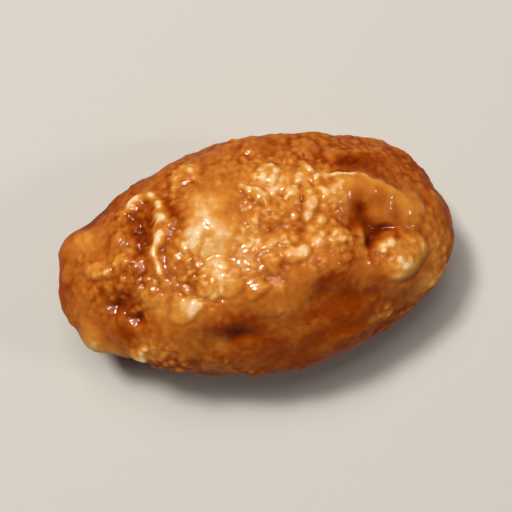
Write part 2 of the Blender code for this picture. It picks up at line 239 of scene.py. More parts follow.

# Where the toffee is darker (above 0) or paler (below 0) than usual: mostly its own colour, but the
# darker near side, far shoulder and far side of the narrow end are painted shade, the paler heel and
# near edge of the blunt end are partly painted light, and the pale swell is partly a painted sheen
TONES_AND_SHADING = (
    Rise(-3.0, 1.9, 2.1, 2.7, 15, -0.62),  # pale swell: partly cream sugar, partly a painted sheen
    Rise(-3.1, -1.9, 1.6, 1.5, 0, -0.60),  # golden knob
    Rise(-5.0, -3.2, 1.6, 0.9, 0, -0.65),
    Rise(-7.2, -2.7, 1.2, 0.7, -20, -0.60),
    Rise(-12.4, -3.2, 2.2, 2.4, 0, -0.60),  # heel: partly its own paler colour, partly painted light
    Rise(-11.0, -4.4, 1.4, 1.0, 0, -0.60),
    Rise(-11.6, 3.2, 1.8, 1.2, 35, -0.65),  # honey band by the tip
    Rise(9.8, -3.0, 2.3, 1.5, 0, -0.35),  # grainy patch
    Rise(11.0, -4.3, 1.8, 1.1, 0, -0.80),  # near edge of the blunt end, paler as painted light
    Rise(12.2, -2.6, 1.5, 2.2, 0, -0.50),
    Rise(8.5, -1.8, 0.9, 0.6, 0, -0.30),
    Rise(2.2, 3.6, 3.2, 1.8, 0, -0.65),  # rough middle
    Rise(3.8, 0.6, 2.6, 1.6, 40, -0.45),
    Rise(-0.3, 0.1, 1.5, 1.9, 0, -0.65),  # smooth yellow patch beside the pale swell
    Rise(4.4, -1.0, 2.0, 0.7, 5, -0.20),
    Rise(6.1, 1.9, 1.5, 1.1, 0, -0.40),  # near end of the blister
    Rise(10.4, 1.4, 1.2, 1.2, 0, -0.25),
    Rise(-8.8, -5.2, 1.8, 1.0, 10, -0.60),  # crumbs in the notch
    Rise(-3.8, 5.8, 1.4, 0.9, 10, -0.40),
    Rise(-10.6, 0.8, 2.2, 1.0, 5, -0.35),
    Rise(11.2, 5.2, 1.6, 0.9, -20, -0.60),
    Rise(-7.7, 2.7, 1.2, 2.0, 15, 0.50),  # hollow inside the curved rib
    Rise(-8.4, -0.5, 0.9, 0.9, 0, 0.35),
    Rise(-5.0, 3.2, 0.6, 2.0, 0, 0.35),  # groove beyond it
    Rise(-9.8, -2.0, 1.4, 1.0, -15, 0.40),  # hollow above the heel
    Rise(8.0, -0.7, 1.6, 0.8, -15, 0.60),  # trough and pits
    Rise(7.6, 1.0, 0.8, 0.5, 0, 0.40),
    Rise(-2.6, -5.2, 1.7, 1.0, 0, 0.85),  # near side, darker as painted shade
    Rise(6.4, -4.6, 2.4, 1.0, 10, 0.40),
    Rise(-4.9, -7.0, 1.8, 0.9, 0, -0.35),
    Rise(-1.8, -7.6, 1.4, 0.8, 0, -0.25),
    Rise(7.4, -6.2, 2.2, 1.0, 15, -0.30),
    Rise(-9.9, -3.8, 0.6, 1.2, 15, 0.40),  # crease behind the heel
    # painted shade on the near slope
    Rise(4.6, -3.4, 2.0, 0.9, 0, 0.45),
    Rise(2.6, -5.2, 1.6, 1.0, 0, 0.25),
    Rise(2.6, -1.3, 1.0, 0.8, 0, -0.50),
    # painted shade along the whole near side
    Rise(3.0, -6.6, 8.0, 1.8, 0, 0.35),
    Rise(8.0, 4.2, 2.0, 1.0, -10, 0.70),  # far shoulder, darker as painted shade
    Rise(9.5, -1.2, 0.9, 0.6, 0, 0.30),
    Rise(12.8, 3.0, 1.6, 2.4, 0, 0.20),
    Rise(-9.0, 5.6, 4.0, 1.2, 25, 0.70),  # far side of the narrow end, darker as painted shade
    Rise(-4.5, 0.9, 1.1, 1.1, 0, -0.70),  # thin toffee around the pale swell
    Rise(-2.8, -0.2, 1.1, 1.1, 0, -0.42),
    Rise(-1.1, -1.6, 1.1, 0.8, 0, -0.35),  # beside the golden knob
    Rise(0.8, -3.2, 0.7, 0.6, 0, -0.25),
    Rise(1.8, 3.2, 1.0, 0.8, 0, -0.40),  # single pale lumps
    Rise(9.0, -3.2, 1.2, 0.9, 0, -0.35),
    Rise(-4.6, -3.2, 0.9, 0.7, 0, -0.30),
    Rise(11.4, -0.4, 1.2, 1.0, 0, -0.35),
    Rise(-10.5, 2.9, 1.0, 0.8, 20, -0.30),
    Rise(5.7, -2.3, 1.1, 0.8, 0, 0.35),  # streaks on the near side
    Rise(-1.0, -5.3, 0.9, 1.0, 0, 0.25),
    Rise(-3.8, -5.9, 0.9, 0.9, 0, -0.40),
    Rise(1.4, -6.4, 1.4, 0.8, 0, -0.30),
)


def spread_noise(points: np.ndarray, size: float, shift: float = 0.0) -> np.ndarray:
    """Smooth random values over the sweet.

    Args:
        points: Places, one a row, in metres.
        size: Distance from one high to the next, in metres.
        shift: Moves the pattern, so that two of one size differ.

    Returns:
        One value for each point, from about -0.9 to 0.9.
    """
    return np.array([noise.noise(place) for place in (points / size + shift).tolist()])


def merged(first: np.ndarray, second: np.ndarray, crease: float) -> np.ndarray:
    """The higher of two heights at each point, with a rounded crease where they meet.

    Args:
        first: One height for each point, in metres.
        second: The other height for each point.
        crease: How near the two come before they run together, in metres.

    Returns:
        One height for each point.
    """
    near = np.maximum(crease - np.abs(first - second), 0)
    return np.maximum(first, second) + near**2 / (4 * crease)


@dataclass(frozen=True)
class Oval:
    """The plain tapered oval under the crust's relief, with its size in metres."""

    length: float
    width: float
    thickness: float
    fullness: float = 1.86
    taper_across: float = 0.06
    taper_up: float = 0.07

    def half_sizes(self) -> np.ndarray:
        """Half the oval's length, width and thickness."""
        return np.array([self.length, self.width, self.thickness]) / 2

    def half_widths_at(self, along: np.ndarray) -> np.ndarray:
        """Half the oval's size across, part of the way to an end.

        Args:
            along: Places along the almond, from -1 at the narrow end to 1 at the blunt one.

        Returns:
            Half length, half width and half thickness, one row for each place.
        """
        half = self.half_sizes()
        return np.column_stack(
            [
                np.full(len(along), half[0]),
                half[1] * (1 + self.taper_across * along),
                half[2] * (1 + self.taper_up * along),
            ]
        )

    def points(self, directions: np.ndarray) -> np.ndarray:
        """Points of the oval.

        Args:
            directions: Unit directions from its centre, one a row.

        Returns:
            One point for each direction.
        """
        fuller = (np.abs(directions) ** self.fullness).sum(axis=1) ** (-1 / self.fullness)
        unit = directions * fuller[:, None]
        return unit * self.half_widths_at(unit[:, 0])

    def normals(self, points: np.ndarray) -> np.ndarray:
        """Outward unit normals of the oval.

        Args:
            points: Points on the oval, one a row.

        Returns:
            One normal for each point.
        """
        half = self.half_widths_at(points[:, 0] / self.half_sizes()[0])
        share = points / half
        slope = np.sign(share) * np.abs(share) ** (self.fullness - 1) / half
        return slope / np.linalg.norm(slope, axis=1)[:, None]

    def on_top(self, places: np.ndarray) -> np.ndarray:
        """Points of the oval's upper side.

        Args:
            places: Flat (along, across) places in millimetres. One outside slides in to the rim.

        Returns:
            The point above each place, in metres.
        """
        flat = np.array(places) * MM
        half = self.half_widths_at(flat[:, 0] / self.half_sizes()[0])
        used = (np.abs(flat / half[:, :2]) ** self.fullness).sum(axis=1)
        flat /= np.maximum(used, 1)[:, None] ** (1 / self.fullness)
        return np.column_stack([flat, half[:, 2] * np.maximum(1 - used, 0) ** (1 / self.fullness)])


@dataclass(frozen=True)
class Crust:
    """The crust's lumps, knobs, ribs, hollows and pits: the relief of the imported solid."""

    oval: Oval
    seed: int = 141
    lump_tries: int = 900
    lump_radius: tuple[float, float] = (1.5 * MM, 2.7 * MM)
    lump_steepness: tuple[float, float] = (0.16, 0.26)
    lump_upper_share: float = 0.4
    lump_spacing: float = 0.62
    knob_tries: int = 1500
    knob_radius: tuple[float, float] = (0.65 * MM, 1.25 * MM)
    knob_steepness: tuple[float, float] = (0.24, 0.42)
    knob_upper_share: float = 0.65
    knob_spacing: float = 0.78
    knob_clumps: float = 3.6 * MM
    knob_height_share: float = 0.6
    knob_height_swing: float = 1.6
    least_knob: float = 0.1
    near_side_calm: float = 1.2
    near_side_start: float = 0.3
    longest_lump: float = 1.6
    bell_steepness: float = 1.5
    cap_roundness: float = 0.75
    crease: float = 0.10 * MM
    rib_steepness: float = 1.6
    rib_fade: tuple[float, float] = (0.12, 0.88)
    wobble_reach: float = 0.55 * MM
    wobble_scale: float = 1.7 * MM
    underside_calm: float = 0.8
    slightest: float = 1e-9  # keeps a length that is divided by above 0

    def __post_init__(self) -> None:
        """Fixes the noise's own offsets, so that the lumps stray alike in every run."""
        noise.seed_set(self.seed)

    def frames(self, centres: np.ndarray, turns: np.ndarray, halves: np.ndarray) -> np.ndarray:
        """Frames of patches that lie on the oval.

        Args:
            centres: The patches' centres, one a row.
            turns: How far each main axis is turned from the almond's length, in radians.
            halves: Each patch's half length and half width, one row for each.

        Returns:
            One 3 by 3 frame for each patch, as Patches holds them.
        """
        normals = self.oval.normals(centres)
        main = np.column_stack([np.cos(turns), np.sin(turns), np.zeros(len(turns))])
        main -= normals * (main * normals).sum(axis=1)[:, None]
        main /= np.linalg.norm(main, axis=1)[:, None] + self.slightest
        cross = np.cross(normals, main)
        rows = [main / halves[:, :1], cross / halves[:, 1:], normals / halves.max(axis=1)[:, None]]
        return np.stack(rows, axis=1)

    def placed(self, rises: tuple[Rise, ...]) -> Patches:
        """The patches of listed rises.

        Args:
            rises: Rises on the upper side.

        Returns:
            Their patches, in metres.
        """
        places = self.oval.on_top(np.array([(rise.along, rise.across) for rise in rises]))
        centres = self.wobbled(places)
        turns = np.radians([rise.turn_deg for rise in rises])
        halves = np.array([(rise.half_length, rise.half_width) for rise in rises]) * MM
        heights = np.array([rise.height for rise in rises]) * MM
        return Patches(centres, halves.mean(axis=1), self.frames(centres, turns, halves), heights)

    def strewn(
        self,
        rng: random.Random,
        tries: int,
        radii: tuple[float, float],
        steepness: tuple[float, float],
        spacing: float,
        taken: Patches,
    ) -> Patches:
        """Patches strewn over the whole oval, none too near another or a taken place.

        Args:
            rng: Source of the random draws.
            tries: How many places are tried.
            radii: Smallest and largest radius, in metres.
            steepness: Smallest and largest height over radius.
            spacing: Least distance between two patches, over the sum of their radii.
            taken: Patches whose places are already used.

        Returns:
            The new patches alone.
        """
        draws = np.array([[rng.gauss(0, 1) for _ in range(3)] for _ in range(tries)])
        points = self.oval.points(draws / np.linalg.norm(draws, axis=1)[:, None])
        centres, sizes = list(taken.centres), list(taken.radii)
        for point in points:
            radius = rng.uniform(*radii)
            gaps = np.linalg.norm(np.array(centres) - point, axis=1)
            if np.all(gaps > spacing * (np.array(sizes) + radius)):
                centres.append(point)
                sizes.append(radius)
        new = slice(len(taken.radii), None)
        centres, sizes = np.array(centres[new]), np.array(sizes[new])
        turns = np.array([rng.uniform(0, math.pi) for _ in sizes])
        longer = np.array([rng.uniform(1, self.longest_lump) for _ in sizes])
        heights = sizes * [rng.uniform(*steepness) for _ in sizes]
        halves = np.column_stack([sizes * longer, sizes])
        return Patches(centres, sizes, self.frames(centres, turns, halves), heights)

    def upness(self, points: np.ndarray) -> np.ndarray:
        """0 on the underside and 1 on the upper side, with a soft change between."""
        return np.clip(0.5 + points[:, 2] / self.oval.half_sizes()[2], 0, 1)

    def calmed(self, patches: Patches, upper_share: float) -> Patches:
        """The patches, lower on the upper side, so that the placed features stand out there."""
        heights = patches.heights * (1 + (upper_share - 1) * self.upness(patches.centres))
        return replace(patches, heights=heights)

    def clumped(self, knobs: Patches) -> Patches:
        """Lowers the knobs between clumps of high ones, and most of those up on the near side.

        Args:
            knobs: Knobs strewn over the whole oval.

        Returns:
            The same knobs with their new heights.
        """
        swing = self.knob_height_swing * spread_noise(knobs.centres, self.knob_clumps)
        nearness = -knobs.centres[:, 1] / self.oval.half_sizes()[1]
        near_side = np.clip(nearness - self.near_side_start, 0, 1) * self.upness(knobs.centres)
        share = self.knob_height_share + swing - self.near_side_calm * near_side
        heights = knobs.heights * np.clip(share, self.least_knob, 1)
        return replace(knobs, heights=heights)

    def wobbled(self, points: np.ndarray) -> np.ndarray:
        """The points strayed a little, so that no lump keeps a perfect outline."""
        stray = [noise.noise_vector(place) for place in (points / self.wobble_scale).tolist()]
        return points + np.array(stray) * self.wobble_reach

    def raised(self, points: np.ndarray, patches: Patches, ending: Ending) -> np.ndarray:
        """The height that patches give a surface.

        Args:
            points: Places on the oval, one a row.
            patches: The patches.
            ending: How each one runs out.

        Returns:
            One height for each point, in metres.
        """
        total = np.zeros(len(points))
        for index, height in enumerate(patches.heights):
            away = patches.reach(points, index)
            if ending is Ending.SOFT:
                total += height * np.exp(-self.bell_steepness * away**2)
            else:
                cap = height * np.maximum(1 - away**2, 0) ** self.cap_roundness
                total = merged(total, cap, self.crease)
        return total

    def smooth_line(self, corners: tuple[tuple[float, float], ...], steps: int = 12) -> np.ndarray:
        """A Catmull-Rom curve through flat corner points.

        Args:
            corners: The points that the curve runs through.
            steps: Points on each stretch between two corners.

        Returns:
            Points along the curve, one a row.
        """
        knots = np.array(corners)
        ends = np.vstack([2 * knots[0] - knots[1], knots, 2 * knots[-1] - knots[-2]])
        line = []
        for a, b, c, d in zip(ends, ends[1:], ends[2:], ends[3:]):
            for share in np.arange(steps) / steps:
                bend = (2 * a - 5 * b + 4 * c - d) * share**2 + (3 * b - a - 3 * c + d) * share**3
                line.append((2 * b + (c - a) * share + bend) / 2)
        return np.array([*line, knots[-1]])

    def rib_rise(self, points: np.ndarray, rib: Rib) -> np.ndarray:
        """The height of a rounded rib, which fades at both ends.

        Args:
            points: Places on the oval, one a row.
            rib: The rib.

        Returns:
            One height for each point, in metres.
        """
        line = self.wobbled(self.oval.on_top(self.smooth_line(rib.line)))
        fades = np.sqrt(np.sin(np.linspace(*self.rib_fade, len(line)) * math.pi))
        rise = np.zeros(len(points))
        for place, fade in zip(line, fades):
            away = np.linalg.norm(points - place, axis=1) / (rib.half_width * MM)
            rise = np.maximum(rise, fade * np.exp(-self.rib_steepness * away**2))
        return rise * rib.height * MM

    def height(self, points: np.ndarray) -> np.ndarray:
        """How far the crust stands out from the oval, along the oval's normal.

        Args:
            points: Places on the oval, one a row.

        Returns:
            One height for each point, in metres.
        """
        rng = random.Random(self.seed)
        bent = self.wobbled(points)
        by_hand = self.placed(KNOBS)
        lumps = self.strewn(
            rng, self.lump_tries, self.lump_radius, self.lump_steepness, self.lump_spacing, by_hand
        )
        knobs = self.strewn(
            rng, self.knob_tries, self.knob_radius, self.knob_steepness, self.knob_spacing, by_hand
        )
        lumps = self.calmed(lumps, self.lump_upper_share)
        height = self.raised(bent, by_hand.joined(lumps), Ending.CREASED)
        knobs = self.calmed(self.clumped(knobs), self.knob_upper_share)
        height += self.raised(bent, knobs, Ending.CREASED)
        height += self.raised(bent, self.placed(SWELLS), Ending.SOFT)
        height += self.raised(bent, self.placed(PITS), Ending.SOFT)
        height += sum(self.rib_rise(bent, rib) for rib in RIBS)
        return height * (self.underside_calm + (1 - self.underside_calm) * self.upness(points))


@dataclass(frozen=True)
class Crumbs:
    """Crumbs of sugar stuck to the crust, of two sizes, with runs of syrup between them."""

    coarse_size: float = 0.95 * MM
    coarse_height: float = 0.13 * MM
    fine_size: float = 0.50 * MM
    fine_height: float = 0.22 * MM
    fine_left: float = 0.15
    usual_crumb: float = 0.5
    crumb_swing: float = 0.9
    least_crumb: float = 0.1
    crumb_spread: float = 3.7
    crumb_reach: float = 0.85
    wobble: float = 0.30 * MM
    wobble_scale: float = 2.0  # over the size of a crumb
    run_size: float = 2.3 * MM
    run_share: float = 0.16
    run_height: float = 0.02 * MM
    run_roundness: float = 1.5
    clump_size: float = 3.2 * MM
    usual_cover: float = 0.55
    cover_swing: float = 1.2
    least_cover: float = 0.08

    def domes(self, points: np.ndarray, size: float) -> np.ndarray:
        """Domes of uneven height, packed like crumbs.

        Args:
            points: Places on the oval, one a row.
            size: Distance from one crumb to the next, in metres.

        Returns:
            One height for each point, from 0 to 1.
        """
        scale = self.wobble_scale * size
        strays = [noise.noise_vector(place) for place in (points / scale).tolist()]
        bent = (points + np.array(strays) * self.wobble) / size
        heights = np.empty(len(points))
        for index, place in enumerate(bent.tolist()):
            distances, seeds = noise.voronoi(place)
            uneven = self.usual_crumb + self.crumb_swing * noise.noise(seeds[0] * self.crumb_spread)
            dome = max(1 - (distances[0] / self.crumb_reach) ** 2, 0)
            heights[index] = max(uneven, self.least_crumb) * dome
        return heights

    def runs(self, points: np.ndarray) -> np.ndarray:
        """Thin winding ridges where syrup ran and set, from 0 to 1."""
        away = np.abs(spread_noise(points, self.run_size, RUN_SHIFT)) / self.run_share
        return np.maximum(1 - away**2, 0) ** self.run_roundness

    def cover(self, crust: Crust, points: np.ndarray) -> np.ndarray:
        """The share of the crust that crumbs cover.

        Args:
            crust: The crust, which places the patches of crumbs.
            points: Places on the oval, one a row.

        Returns:
            One share for each point, from near 0 where the toffee set smooth to 1.
        """
        placed = crust.raised(crust.wobbled(points), crust.placed(CRUMBED), Ending.SOFT) / MM
        swing = self.cover_swing * spread_noise(points, self.clump_size, CLUMP_SHIFT)
        return np.clip(self.usual_cover + placed + swing, self.least_cover, 1)

    def height(self, points: np.ndarray, cover: np.ndarray) -> np.ndarray:
        """How far the crumbs stand out from the crust.

        Args:
            points: Places on the oval, one a row.
            cover: The share of the crust that crumbs cover at each of them.

        Returns:
            One height for each point, in metres.
        """
        coarse = self.domes(points, self.coarse_size) * self.coarse_height * cover
        fine = self.domes(points, self.fine_size) * self.fine_height
        fine *= self.fine_left + (1 - self.fine_left) * cover
        return coarse + fine + self.runs(points) * self.run_height


@dataclass(frozen=True)
class Beads:
    """Beads of sugar along the narrow ribs, with gaps between them. They are paler partly as sugar
    and partly as a painted highlight along the crests.
    """

    size: float = 0.9 * MM
    gap_depth: float = 0.30 * MM
    usual: float = 0.5
    swing: float = 1.3

    def along(self, crust: Crust, points: np.ndarray) -> tuple[np.ndarray, np.ndarray]:
        """Where the ribs have beads, and where they have gaps between them.

        Args:
            crust: The crust, which has the ribs.
            points: Places on the oval, one a row.

        Returns:
            How much of a bead and how much of a gap each point is, from 0 to 1.
        """
        bent = crust.wobbled(points)
        ribs = sum(crust.rib_rise(bent, rib) / (rib.height * MM) for rib in BEADED_HIGHLIGHT_RIBS)
        beads = np.clip(self.usual + self.swing * spread_noise(points, self.size), 0, 1)
        return beads * ribs, (1 - beads) * ribs


class Neighbours:
    """A mesh's edges, for levelling a value over its surface."""

    def __init__(self, mesh: bpy.types.Mesh) -> None:
        """Reads the edges of a mesh.

        Args:
            mesh: The mesh.
        """
        ends = np.empty(len(mesh.edges) * 2, dtype=np.int32)
        mesh.edges.foreach_get("vertices", ends)
        self.near, self.far = ends.reshape(-1, 2).T.copy()
        self.points = len(mesh.vertices)
        self.counts = np.bincount(ends, minlength=self.points)

    def levelled(self, values: np.ndarray, rounds: int) -> np.ndarray:
        """The values, each drawn towards its neighbours' mean.

        Args:
            values: One value for each of the mesh's points.
            rounds: How many times it is done.

        Returns:
            The levelled values.
        """
        for _ in range(rounds):
            total = np.bincount(self.near, values[self.far], self.points)
            total += np.bincount(self.far, values[self.near], self.points)
            values = (values + total / self.counts) / 2
        return values


@dataclass(frozen=True)
class Syrup:
    """Boiled sugar that set as a glaze: thin on high places and deep in creases."""

    level: float = -0.27 * MM
    unevenness: float = 0.08 * MM
    unevenness_size: float = 2.6 * MM
    rounding: float = 0.12 * MM
    melt_rounds: int = 1
    levelling_rounds: int = 18

    def poured(self, points: np.ndarray, height: np.ndarray, near: Neighbours) -> np.ndarray:
        """Melts the crumbs a little and fills the creases.

        Args:
            points: Places on the oval, one a row.
            height: The bare crust's height at each of them, in metres.
            near: The mesh's edges.

        Returns:
            The glazed height at each point, in metres.
        """
        melted = near.levelled(height, self.melt_rounds)
        surface = near.levelled(height, self.levelling_rounds) + self.level
        surface += self.unevenness * spread_noise(points, self.unevenness_size, POOL_SHIFT)
        return merged(surface, melted, self.rounding)


@dataclass(frozen=True)
class ToffeeDepthAndShading:
    """How deep the toffee lies over the sugar, from 0 for bare sugar to 1 for the deepest pool, with
    painted shade and painted light added in places.
    """

    usual: float = 0.34
    crease_rounds: tuple[int, int] = (1, 12)
    by_crease: float = 3.2  # for each millimetre that a crease is deep
    hollow_rounds: tuple[int, int] = (20, 260)
    by_hollow: float = 0.20  # for each millimetre that a broad hollow is deep
    by_tone_and_shading: float = 0.40
    # paler along the beaded ribs: pale sugar, with a painted highlight along their crests
    bead_highlight_tone: float = 0.8
    shade_below: float = 0.18  # darker below the sweet's middle, as painted shade of the lower flanks
    usual_bareness: float = 0.5
    bareness_by_crease: float = 6.0

    def sunk(self, near: Neighbours, glazed: np.ndarray, rounds: tuple[int, int]) -> np.ndarray:
        """How far each point lies below its surroundings, in millimetres.

        Args:
            near: The mesh's edges.
            glazed: The glazed crust's height at each point, in metres.
            rounds: Rounds of levelling that give the point's own height and its surroundings'.

        Returns:
            One depth for each point, below 0 where it stands out.
        """
        own, around = (near.levelled(glazed, count) for count in rounds)
        return (around - own) / MM

    def over(
        self,
        crust: Crust,
        base: np.ndarray,
        glazed: np.ndarray,
        near: Neighbours,
        beads: np.ndarray,
    ) -> tuple[np.ndarray, np.ndarray]:
        """Works out the depth of the toffee over the whole sweet, with painted shade and painted
        light added in places.

        Args:
            crust: The crust, which places the darker and paler patches, mostly the toffee's own
                colour but some of them painted shade and painted light.
            base: The oval's points, one a row.
            glazed: The glazed crust's height at each of them, in metres.
            near: The mesh's edges.
            beads: How much of a pale bead each of them is; the paleness is partly sugar and partly a
                painted highlight.

        Returns:
            The depth, with its painted shade and light, and the bareness of the crumbs at each
            point, both from 0 to 1.
        """
        creased = self.sunk(near, glazed, self.crease_rounds)
        hollow = self.sunk(near, glazed, self.hollow_rounds)
        tone_and_shading = crust.raised(crust.wobbled(base), crust.placed(TONES_AND_SHADING), Ending.SOFT) / MM
        # paler along the beaded ribs: pale sugar, with a painted highlight along their crests
        tone_and_shading -= self.bead_highlight_tone * beads
        # darker towards the bottom: painted shade of the lower flanks
        low = 1 - np.clip(base[:, 2] / crust.oval.half_sizes()[2], 0, 1)
        depth = self.usual + self.by_crease * creased + self.by_hollow * hollow
        depth += self.by_tone_and_shading * tone_and_shading + self.shade_below * low
        bareness = self.usual_bareness - self.bareness_by_crease * creased
        return np.clip(depth, 0, 1), np.clip(bareness, 0, 1)


def linear_colour(srgb_hex: str) -> tuple[float, float, float, float]:
    """A colour as Blender's sockets take it.

    Args:
        srgb_hex: The colour as six sRGB hex digits.

    Returns:
        Linear red, green and blue, and an alpha of 1.
    """
    shares = [int(srgb_hex[start : start + 2], 16) / 255 for start in (0, 2, 4)]
    # The curve is the sRGB standard's own
    linear = [s / 12.92 if s <= 0.04045 else ((s + 0.055) / 1.055) ** 2.4 for s in shares]
    return (*linear, 1.0)


def add_node(
    tree: bpy.types.NodeTree, kind: str, settings: dict | None = None, links: dict | None = None
) -> bpy.types.Node:
    """Adds a node with its settings and links.

    Args:
        tree: The node tree.
        kind: The node's type name.
        settings: Values by name. A name or number of an input sets that input, and any other a
            property.
        links: Output sockets by the name or number of the input that they feed.

    Returns:
        The new node.
    """
    node = tree.nodes.new(kind)
    for name, value in (settings or {}).items():
        if isinstance(name, int) or name in node.inputs:
            node.inputs[name].default_value = value
        else:
            setattr(node, name, value)
    for name, socket in (links or {}).items():
        tree.links.new(socket, node.inputs[name])
    return node


def set_shader(tree: bpy.types.NodeTree, settings: dict, links: dict) -> None:
    """Sets up a new material's shader.

    Args:
        tree: The material's node tree.
        settings: Values by the name of the input.
        links: Output sockets by the name of the input that they feed.
    """
    shader = tree.nodes["Principled BSDF"]
    for name, value in settings.items():
        shader.inputs[name].default_value = value
    for name, socket in links.items():
        tree.links.new(socket, shader.inputs[name])


def set_ramp(node: bpy.types.Node, stops: dict[float, tuple[float, ...]]) -> None:
    """Gives a colour ramp its stops.

    Args:
        node: The ramp's node.
        stops: Linear colours by place, from 0 to 1.
    """
    ramp = node.color_ramp
    while len(ramp.elements) < len(stops):
        ramp.elements.new(0.5)
    for element, (place, colour) in zip(ramp.elements, sorted(stops.items())):
        element.position = place
        element.color = colour


@dataclass(frozen=True)
class BoiledSugarToffee:
    """Sugar crust glazed with amber toffee, boiled and stirred until it set hard.

    Thin toffee over pale sugar reads as cream and honey. Where it pooled it is clear deep amber,
    and in the deepest creases burnt brown. It is glossy like glass where it pooled and dull on
    bare crumbs, and light that sinks in comes out again as a warm glow.
    """

    palest: str = "EED3B0"  # bare sugar
    cream: str = "E4BC84"
    gold: str = "D7963F"
    honey: str = "C3782D"
    amber: str = "994307"
    rust: str = "6A2002"
    burnt: str = "300A01"  # the deepest pools
    blotch_size: float = 2.2 * MM
    blotch_share: float = 0.34
    fleck_size: float = 0.55 * MM
    fleck_share: float = 0.35
    smooth_share: float = 0.4  # of the flecks and ripples, left where there are no crumbs
    ripple_size: float = 0.60 * MM
    ripple_height: float = 0.14 * MM
    crystal_size: float = 0.16 * MM  # real grains of sugar run finer, and would be lost in a render
    crystal_height: float = 0.035 * MM
    gloss_roughness: float = 0.35
    bare_roughness: float = 0.55
    toffee_ior: float = 1.45
    base_gloss: float = 0.03
    coat_weight: float = 0.8
    edge_coat_weight: float = 0.0  # a brighter rim would grey the sweet's sides
    coat_fade: tuple[float, float] = (0.08, 0.42)
    turn_blend: float = 0.5  # an even change from facing the eye to turned away from it
    coat_ior: float = 1.4
    coat_roughness: float = 0.09
    glow_weight: float = 0.6
    glow_depth: float = 1.0 * MM
    glow_by_colour: tuple[float, float, float] = (1.0, 0.36, 0.10)

    def colours(self) -> dict[float, tuple[float, ...]]:
        """The toffee's colour by its depth.

        Returns:
            Linear colours by place on a ramp, from bare sugar at 0 to the deepest pools at 1.
        """
        by_depth = {
            0.0: self.palest,
            0.06: self.cream,
            0.16: self.gold,
            0.30: self.honey,
            0.52: self.amber,
            0.76: self.rust,
            1.0: self.burnt,
        }
        return {depth: linear_colour(srgb_hex) for depth, srgb_hex in by_depth.items()}

    def mottled(
        self,
        tree: bpy.types.NodeTree,
        places: bpy.types.NodeSocket,
        depth: bpy.types.NodeSocket,
        cover: bpy.types.NodeSocket,
    ) -> bpy.types.NodeSocket:
        """Varies the toffee's depth in blotches, and in flecks that are strongest among crumbs.

        Args:
            tree: The material's node tree.
            places: Object coordinates.
            depth: The depth of the toffee.
            cover: The share that crumbs cover.

        Returns:
            The varied depth.
        """
        swing = add_node(
            tree,
            "ShaderNodeMapRange",
            {"To Min": self.fleck_share * self.smooth_share, "To Max": self.fleck_share},
            {"Value": cover},
        )
        blotches = {
            "Scale": 1 / self.blotch_size,
            "Detail": 3.0,
            "Roughness": 0.6,
            "Distortion": 0.6,
        }
        flecks = {"Scale": 1 / self.fleck_size, "Detail": 2.0, "Roughness": 0.55}
        for pattern, share, share_link in (
            (blotches, {1: self.blotch_share}, {}),
            (flecks, {}, {1: swing.outputs["Result"]}),
        ):
            spots = add_node(tree, "ShaderNodeTexNoise", pattern, {"Vector": places})
            centred = add_node(
                tree,
                "ShaderNodeMath",
                {"operation": "SUBTRACT", 1: NOISE_MIDDLE},
                {0: spots.outputs["Fac"]},
            )
            varied = add_node(
                tree,
                "ShaderNodeMath",
                {"operation": "MULTIPLY_ADD"} | share,
                {0: centred.outputs[0], 2: depth} | share_link,
            )
            depth = varied.outputs[0]
        return depth

    def relief(
        self,
        tree: bpy.types.NodeTree,
        places: bpy.types.NodeSocket,
        cover: bpy.types.NodeSocket,
        bare: bpy.types.NodeSocket,
    ) -> tuple[bpy.types.NodeSocket, bpy.types.NodeSocket]:
        """Ripples the glaze, and roughens the bare crumbs under it with crystals of sugar.

        Args:
            tree: The material's node tree.
            places: Object coordinates.
            cover: The share that crumbs cover.
            bare: How bare the crumbs are.

        Returns:
            The normals of the glaze and of the sugar.
        """
        crystals = add_node(
            tree, "ShaderNodeTexVoronoi", {"Scale": 1 / self.crystal_size}, {"Vector": places}
        )
        ripples = add_node(
            tree,
            "ShaderNodeTexNoise",
            {"Scale": 1 / self.ripple_size, "Detail": 1.0},
            {"Vector": places},
        )
        unevenness = add_node(
            tree, "ShaderNodeMapRange", {"To Min": self.smooth_share}, {"Value": cover}
        )
        rippled = add_node(
            tree,
            "ShaderNodeBump",
            {"Distance": self.ripple_height},
            {"Height": ripples.outputs["Fac"], "Strength": unevenness.outputs["Result"]},
        )
        grains = add_node(
            tree,
            "ShaderNodeBump",
            {"Distance": self.crystal_height},
            {
                "Height": crystals.outputs["Distance"],
                "Strength": bare,
                "Normal": rippled.outputs["Normal"],
            },
        )
        return rippled.outputs["Normal"], grains.outputs["Normal"]

